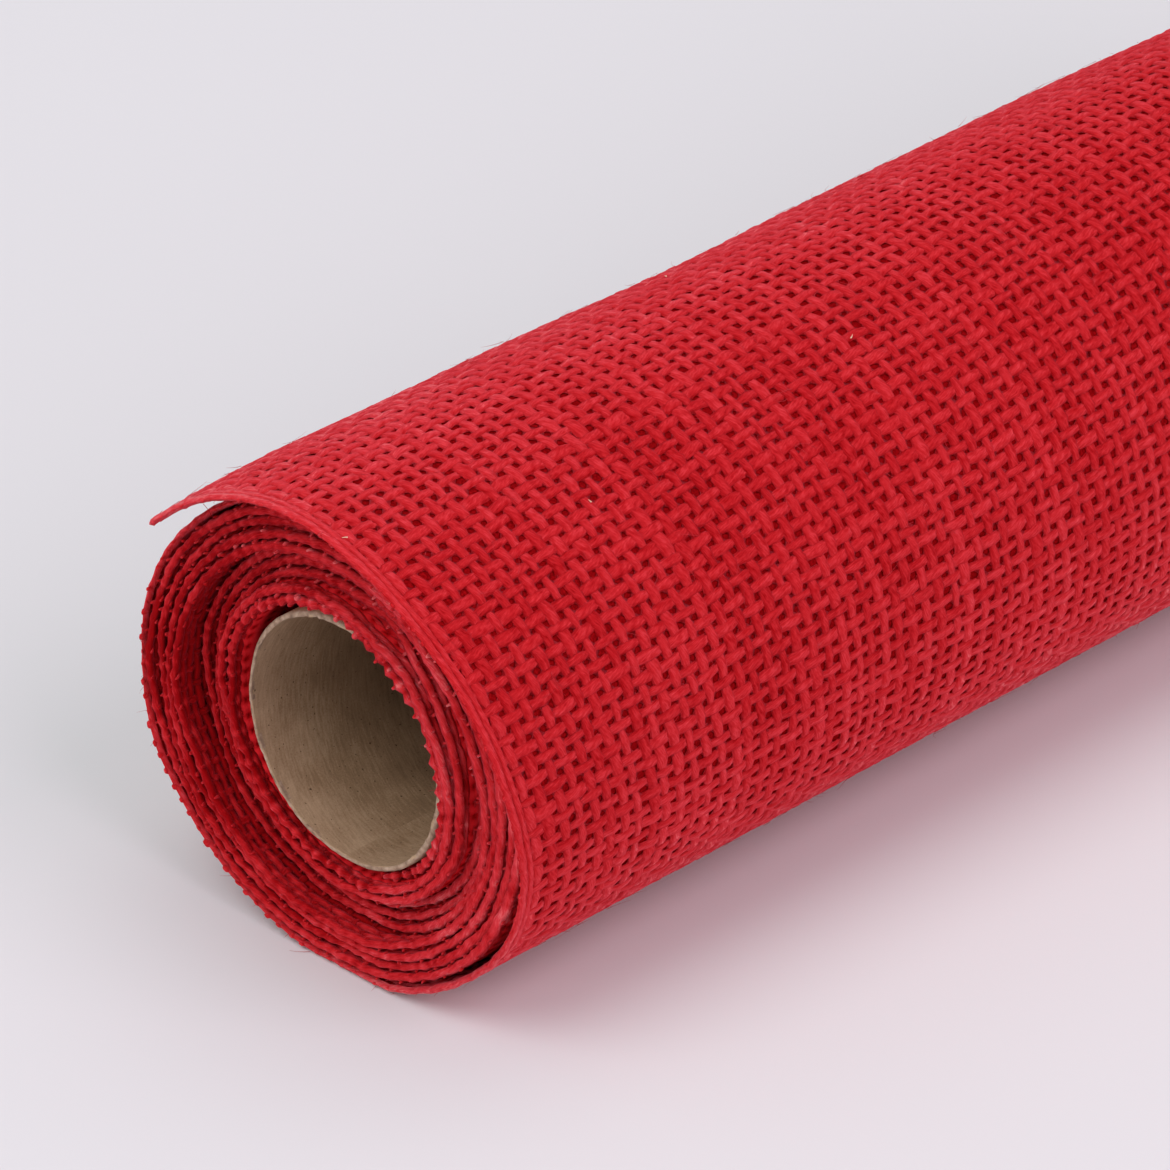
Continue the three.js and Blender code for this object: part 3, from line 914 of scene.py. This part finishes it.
def edge_rod(tubes, k, s0, near):
    """The end of one of the wound turns' yarns along the roll."""
    deep = near and DEEP_START < s0 < DEEP_END
    beaded = float(smoothstep(toward(s0, BEADED), 0.55, 0.95))
    out = random.uniform(-0.15, 0.05) + 0.26 * beaded
    # Its rings' distances from the edge, and their steps in turns of its wave past the outermost hoop
    v = np.array([-0.02 - out, 0.2 - 0.5 * out, 0.60, 1.25, 1.85, 2.5, 3.1, 4.2])
    steps = np.array([-0.6, -0.45, 0, 0.5, 1, 1.5, 2, 2.6])
    if not near:
        v, steps = v[[0, 1, 2, 4, 7]], steps[[0, 1, 2, 4, 7]]
    elif deep:
        v = np.concatenate([v[:-1], [3.9, 4.6, 5.4, 6.1, 7.0]])
        steps = np.concatenate([steps[:-1], [2.5, 3, 3.5, 4, 4.6]])
    # Its tip lies in the gap between two turns
    tip = smoothstep(v, 0.9, 0.4)
    side, reach = 1 if k % 2 else -1, 0.7 if s0 > INMOST else 0.92
    h = -0.36 * (1 - tip) * np.cos(math.pi * (k + steps)) + tip * side * reach * float(half_pitch(s0))
    h = h + random.normal(0, 0.03, len(v))
    s = s0 + random.normal(0, 0.2) * smoothstep(v, 1.5, -0.6) + np.zeros(len(v))
    width = random.uniform(0.8, 1.2)
    size = random.uniform(0.17, 0.25) * (1 + 0.25 * beaded) * (1.7 if s0 > INMOST else 1.0)
    half = (size * tip + 0.62 * (1 - tip)) * width * uneven(len(v), 0.05) * rounded(len(v))
    height = (size * tip + 0.35 * (1 - tip)) * (0.5 + 0.5 * width) * rounded(len(v))
    centre = np.stack([s, across_from(v, near), h], 1)
    if not near:
        centre, half, height = centre[::-1], half[::-1], height[::-1]
    # Part of the end's paleness is painted light towards the front
    shade = 0.5 * painted_end_light(s0, near) + (1.0 + 2.4 * beaded) * random.uniform() ** 1.6 * tip
    # Deeper in the groove the rod is painted darker: painted shade in the recess
    if deep:
        shade = shade - 2.0 * smoothstep(v, 3.0, 5.0)
    tone, section = random.uniform(-0.4, 0.8), round_section(NEAR_SIDES if near else FAR_SIDES)
    tubes.add_tube(centre, half, height, tone, section, False, shade if near else 0.0)


def make_wound_edge(name, near, hoops):
    """The wound turns' edge on one side: its last yarns round the roll and the ends of the yarns along it."""
    tubes = Tubes()
    rods = np.arange(WOUND_START + 1.0, WOUND_END, ROD_PITCH)
    rods = rods + random.normal(0, 0.12, len(rods))
    for j, v0 in enumerate(hoops):
        edge_hoop(tubes, j, v0, rods, near)
    for k, s0 in enumerate(rods):
        edge_rod(tubes, k, s0, near)
    return tubes.make(name, yarn)


def make_sheet():
    """The whole cloth as one closed thin sheet in a spiral: it backs the outer turn's yarns, and there it is
    painted dark as painted shade in the weave's holes.
    """
    s = np.concatenate([[0.9], np.arange(3.0, CLOTH_LENGTH - 0.5, 4.0)])
    v = np.concatenate([[3.1, 3.5], np.arange(10.0, 291.0, 20.0), [297.0, 297.4]])
    thick = np.concatenate([[0.25, 0.70, 0.76], np.full(13, 0.62), [0.76, 0.70, 0.25]])
    wound = smoothstep(s, DETAIL_LENGTH - 6.0, DETAIL_LENGTH + 4.0)[:, None]
    deep = smoothstep(s, DEEP_START - 8, DEEP_START + 4) * smoothstep(s, DEEP_END + 8, DEEP_END - 4)
    deep = deep[:, None]
    near_side, far_side = smoothstep(v, 20.0, 5.0), smoothstep(v, 280.0, 295.0)
    near_shift = -2.6 * (1 - wound) - 1.1 * wound * (1 - deep) + 3.2 * deep
    grid_v = v + near_side * near_shift + far_side * (2.0 - 0.9 * wound)
    upper = thick * wound - 0.08 * (1 - wound)
    lower = thick * wound + 0.20 * (1 - wound)
    grid_v = np.concatenate([grid_v, grid_v[:, ::-1]], 1)
    grid_h = np.concatenate([-lower, upper[:, ::-1]], 1)
    grid_s = np.broadcast_to(s[:, None], grid_v.shape)
    grid = place(grid_s, grid_v, grid_h)
    uv = np.stack([grid_s, grid_v], -1)
    piece = grid_mesh("cloth_sheet", grid, uv, make_sheet_material())
    rows, columns = grid.shape[:2]
    first, last = range(columns), reversed(range((rows - 1) * columns, rows * columns))
    face_outward(piece, (first, last))
    return piece


def make_core():
    """The cardboard tube: thin walls, a worn rim at each end and the slanted joint of its inner ply."""
    turns, lengths = 160, 90
    angle = np.linspace(0, 2 * math.pi, turns, endpoint=False)
    inside, outside = CORE_RADIUS - CORE_WALL + 0.25, CORE_RADIUS
    x_in = np.concatenate([[0.0, 0.25, 0.8], np.linspace(2.5, CORE_LENGTH - 2.5, lengths)])
    x_in = np.concatenate([x_in, CORE_LENGTH - np.array([0.8, 0.25, 0.0])])
    profile = [(x, inside) for x in x_in]
    profile += [(CORE_LENGTH, inside + 0.25), (CORE_LENGTH, outside - 0.3), (CORE_LENGTH - 0.25, outside)]
    profile += [(x, outside) for x in np.linspace(CORE_LENGTH - 3, 3, 12)]
    profile += [(0.25, outside), (0.0, outside - 0.3), (0.0, inside + 0.25)]
    profile = np.array(profile)
    x = profile[:, 0, None] + np.zeros(turns)
    r = profile[:, 1, None] + np.zeros(turns)
    a = angle[None, :] + np.zeros(len(profile))[:, None]
    inner = profile[:, 1, None] < inside + 0.1
    # The inner ply's edge runs in a helix and stands up a little
    pitch, rise, phase = 63.6, 0.16, 0.321
    along = (x / pitch + a / (2 * math.pi) + phase) % 1.0
    step = rise * (1 - smoothstep(along, 0.0, 0.5)) - rise / 2
    joint = 0.10 * np.exp(-((np.minimum(along, 1 - along) / 0.006) ** 2))
    soft = sum(
        0.05 * np.sin(a * m + random.uniform(0, 6.28)) * np.cos(x / w + random.uniform(0, 6.28))
        for m, w in ((2, 90), (3, 61), (5, 37), (9, 17), (14, 11))
    )
    rough = random.normal(0, 0.035, x.shape)
    r = r + np.where(inner, step + joint + soft, 0.6 * soft)
    rim = (x < 0.3) | (x > CORE_LENGTH - 0.3)
    r = r + np.where(rim, rough, 0)
    wear_and_painted_shade = 0.10 * np.sin(3 * a + 1) + 0.07 * np.sin(7 * a + 2) + 0.05 * np.sin(17 * a)
    inward = np.where(rim, np.where(x < 1, 1, -1) * (0.12 + wear_and_painted_shade + 2 * rough), 0)
    x = x + np.maximum(inward, -0.05)
    y, z = -np.sin(a) * r, -np.cos(a) * r - CORE_DROP
    grid = np.stack([x, y, z], -1) / 1000 + ORIGIN
    uv_a = np.linspace(0, 2 * math.pi * CORE_RADIUS, turns + 1)
    uv_x = np.concatenate([profile[:, 0], profile[:1, 0]])
    uv = np.stack(np.broadcast_arrays(uv_x[:, None], uv_a[None, :]), -1)
    piece = grid_mesh("core_tube", grid, uv, make_card_material(), closed_rows=True)
    face_outward(piece)
    piece.data.materials.append(make_rim_material())
    middle = np.empty(len(piece.data.polygons) * 3)
    piece.data.polygons.foreach_get("center", middle)
    middle = (middle.reshape(-1, 3) - ORIGIN) * 1000
    radius = np.hypot(middle[:, 1], middle[:, 2] + CORE_DROP)
    end = (middle[:, 0] < 0.6) | (middle[:, 0] > CORE_LENGTH - 0.6)
    cut = end & (radius > inside + 0.02)
    piece.data.polygons.foreach_set("material_index", cut.astype(np.int32))
    return piece


def add_hair(tubes, s, v, h, bearing, length, thickness, rise, curl, tone):
    """One loose fibre on the cloth, from (s, v, h): it runs at a bearing and rises at its end."""
    t = np.linspace(0, 1, HAIR_RINGS)
    turn = bearing + curl * t
    step = length / (HAIR_RINGS - 1)
    ds = np.concatenate([[0], np.cumsum(np.cos(turn[:-1]) * step)])
    dv = np.concatenate([[0], np.cumsum(np.sin(turn[:-1]) * step)])
    centre = np.stack([s + ds, v + dv, h + rise * t**1.6], 1)
    size = thickness * (1 - 0.75 * t)
    tubes.add_tube(centre, size, size, tone, round_section(3), False)


def make_hairs():
    """Loose fibres all over the outer turn and along both edges."""
    tubes = Tubes()
    for _ in range(HAIRS):
        s, v = random.uniform(0, 250), random.uniform(0, CLOTH_WIDTH)
        add_hair(
            tubes, s, v, random.uniform(0.35, 0.68), random.uniform(0, 2 * math.pi), random.uniform(1.2, 4.5),
            random.uniform(0.025, 0.05), random.uniform(-0.2, 0.8), random.normal(0, 0.9),
            random.uniform(0.45, 1.0),
        )
    for _ in range(EDGE_HAIRS):
        s, near = random.uniform(0, CLOTH_LENGTH - 20), random.uniform() < 0.7
        v = across_from(random.uniform(-0.2, 0.8), near)
        bearing = random.normal(-math.pi / 2, 0.7) * (1 if near else -1)
        add_hair(
            tubes, s, v, random.uniform(-0.5, 0.5), bearing, random.uniform(0.6, 2.0),
            random.uniform(0.025, 0.05), random.uniform(-0.4, 0.4), random.normal(0, 0.8),
            random.uniform(0.3, 1.0),
        )
    # One fibre hangs from the flap's near edge
    t = np.linspace(0, 1, 7)
    centre = np.stack([13.6 + 0.9 * t, -0.25 + 0.15 * np.sin(3 * t), -0.45 - 2.1 * t], 1)
    size = 0.07 * (1.1 - 0.5 * t)
    tubes.add_tube(centre, size, size, -3.5, round_section(3), False)
    return tubes.make("hairs", yarn)


def make_specks():
    """A few bits of undyed straw caught in the cloth."""
    tubes = Tubes()
    more = [(random.uniform(5, 240), random.uniform(5, CLOTH_WIDTH - 5)) for _ in range(MORE_STRAW)]
    for s, v in STRAW_PLACES + more:
        bearing, length = random.uniform(0, 2 * math.pi), random.uniform(0.5, 0.9)
        add_hair(tubes, s, v, 0.72, bearing, length, 0.13, 0.05, 0.6, 0.5)
    n = Nodes("straw")
    grain = n.noise(n.node("ShaderNodeUVMap", uv_map="YarnUV").outputs["UV"], 6.0, 2.0)
    colour = n.ramp(grain, [(0.3, (0.62, 0.42, 0.26)), (0.7, (0.82, 0.66, 0.50))])
    n.set(n.shader.inputs["Base Color"], colour)
    n.shader.inputs["Roughness"].default_value = 0.6
    return tubes.make("straw_specks", n.material)


outer_turn = [*make_outer_turn(), make_webs()]
near_edge = make_wound_edge("wound_edge_near", True, NEAR_HOOPS)
far_edge = make_wound_edge("wound_edge_far", False, FAR_HOOPS)
sheet = make_sheet()
hairs = make_hairs()
specks = make_specks()
core = make_core()
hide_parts("core")
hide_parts("roll", "loose_end")
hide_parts("roll")
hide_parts("roll")
for piece in outer_turn:
    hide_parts("loose_end", "roll")
